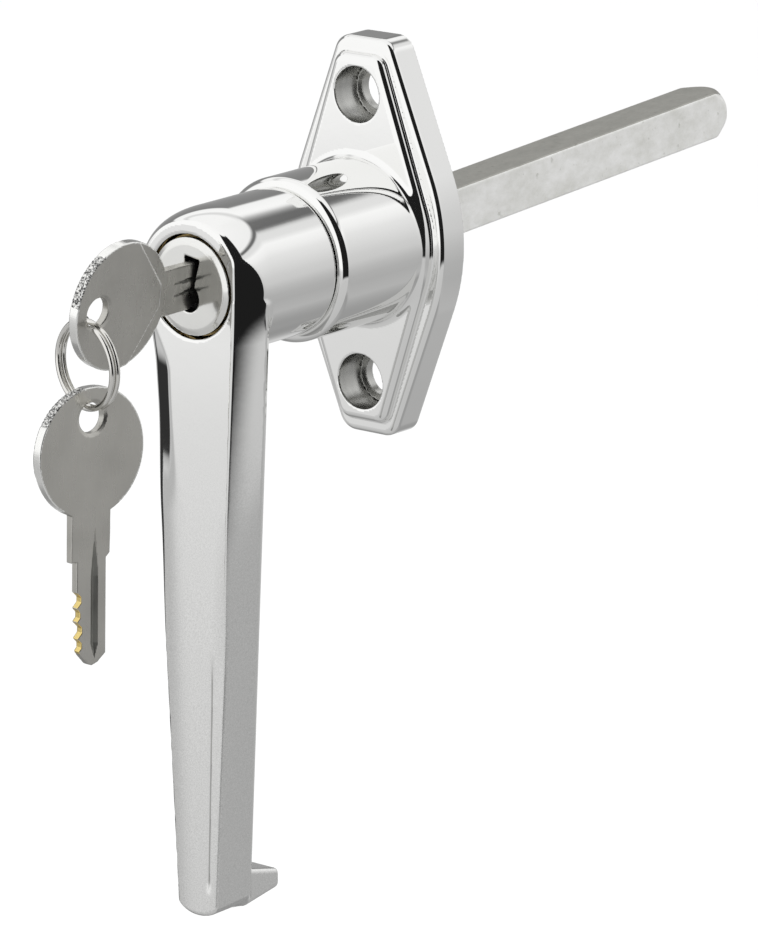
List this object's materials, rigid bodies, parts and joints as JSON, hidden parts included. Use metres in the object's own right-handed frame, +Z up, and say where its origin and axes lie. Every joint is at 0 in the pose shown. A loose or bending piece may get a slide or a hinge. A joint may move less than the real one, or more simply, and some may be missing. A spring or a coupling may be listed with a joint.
{
  "type": "keyed locking lever handle",
  "caption": "Chromed L-shaped lever handle on a diamond flange, with a key lock in its hub, a loose square spindle behind and keys on a split ring.",
  "frame": {"origin": "centre of the flange's back face, on the handle's turning axis", "axes": "+Y along the turning axis into the door, so -Y faces the user; +Z up, through the upper mounting screw; +X to the user's right"},
  "size_m": [0.0386, 0.199, 0.1643],
  "materials": {
    "chrome": "bright chrome plating on a die casting",
    "plug_chrome": "bright plated, lightly scratched round the keyway",
    "steel": "plain zinc-plated steel",
    "galvanised": "dull mottled zinc plating",
    "spring": "spring steel",
    "brass": "machined brass",
    "key_nickel": "nickel-plated brass, satin",
    "ring_nickel": "bright nickel-plated wire"
  },
  "bodies": {
    "base": {"base_casting": "chrome", "wave_washer": "spring"},
    "handle": {"handle_casting": "chrome", "stop_washer": "steel", "retaining_ring": "spring", "lock_cylinder_shell": "brass", "cylinder_pin": "steel", "spindle_cross_pin": "steel"},
    "plug": {"lock_plug": "plug_chrome", "plug_clip": "spring", "wafer_spring_1": "spring", "wafer_spring_2": "spring", "wafer_spring_3": "spring", "wafer_spring_4": "spring", "wafer_spring_5": "spring"},
    "wafer_body_1": {"wafer_1": "brass"},
    "wafer_body_2": {"wafer_2": "brass"},
    "wafer_body_3": {"wafer_3": "brass"},
    "wafer_body_4": {"wafer_4": "brass"},
    "wafer_body_5": {"wafer_5": "brass"},
    "bolt": {"locking_bolt": "steel"},
    "key": {"key_in_lock": "key_nickel"},
    "ring": {"split_ring": "ring_nickel"},
    "spare": {"spare_key": "key_nickel"},
    "spindle": {"square_spindle": "galvanised"}
  },
  "joints": [
    {"name": "handle_turn", "type": "hinge", "parent": "base", "child": "handle", "pos_m": [0, 0, 0], "axis": [0, 1, 0], "range_deg": [-90, 90]},
    {"name": "plug_turn", "type": "hinge", "parent": "handle", "child": "plug", "pos_m": [0, 0, 0], "axis": [0, -1, 0], "range_deg": [0, 90]},
    {"name": "bolt_slide", "type": "slide", "parent": "handle", "child": "bolt", "axis": [0, 0, 1], "range_m": [0, 0.00312]},
    {"name": "key_withdraw", "type": "slide", "parent": "plug", "child": "key", "axis": [0, -1, 0], "range_m": [0, 0.0215]},
    {"name": "wafer_1_slide", "type": "slide", "parent": "plug", "child": "wafer_body_1", "axis": [-0.1564, 0, -0.9877], "range_m": [0, 0.00121], "deforming": ["wafer_spring_1"]},
    {"name": "wafer_2_slide", "type": "slide", "parent": "plug", "child": "wafer_body_2", "axis": [-0.1564, 0, -0.9877], "range_m": [0, 0.00121], "deforming": ["wafer_spring_2"]},
    {"name": "wafer_3_slide", "type": "slide", "parent": "plug", "child": "wafer_body_3", "axis": [-0.1564, 0, -0.9877], "range_m": [0, 0.00121], "deforming": ["wafer_spring_3"]},
    {"name": "wafer_4_slide", "type": "slide", "parent": "plug", "child": "wafer_body_4", "axis": [-0.1564, 0, -0.9877], "range_m": [0, 0.00121], "deforming": ["wafer_spring_4"]},
    {"name": "wafer_5_slide", "type": "slide", "parent": "plug", "child": "wafer_body_5", "axis": [-0.1564, 0, -0.9877], "range_m": [0, 0.00121], "deforming": ["wafer_spring_5"]},
    {"name": "ring_swing", "type": "hinge", "parent": "key", "child": "ring", "pos_m": [-0.0013, -0.086, -0.00135], "axis": [1, 0, 0], "range_deg": [-70, 10]},
    {"name": "spare_key_swing", "type": "hinge", "parent": "ring", "child": "spare", "pos_m": [-0.0013, -0.086, -0.01795], "axis": [0.989, -0.1478, 0], "range_deg": [-50, 12]},
    {"name": "spindle_float", "type": "hinge", "parent": "handle", "child": "spindle", "pos_m": [0, -0.008, 0], "axis": [1, 0, 0], "range_deg": [-8.4, 0]}
  ],
  "couplings": [
    {"joint": "bolt_slide", "follows": "plug_turn", "m_per_rad": 0.0019807},
    {"joint": "wafer_1_slide", "follows": "key_withdraw", "ratio": 0.055814},
    {"joint": "wafer_2_slide", "follows": "key_withdraw", "ratio": 0.055814},
    {"joint": "wafer_3_slide", "follows": "key_withdraw", "ratio": 0.055814},
    {"joint": "wafer_4_slide", "follows": "key_withdraw", "ratio": 0.055814},
    {"joint": "wafer_5_slide", "follows": "key_withdraw", "ratio": 0.055814}
  ]
}
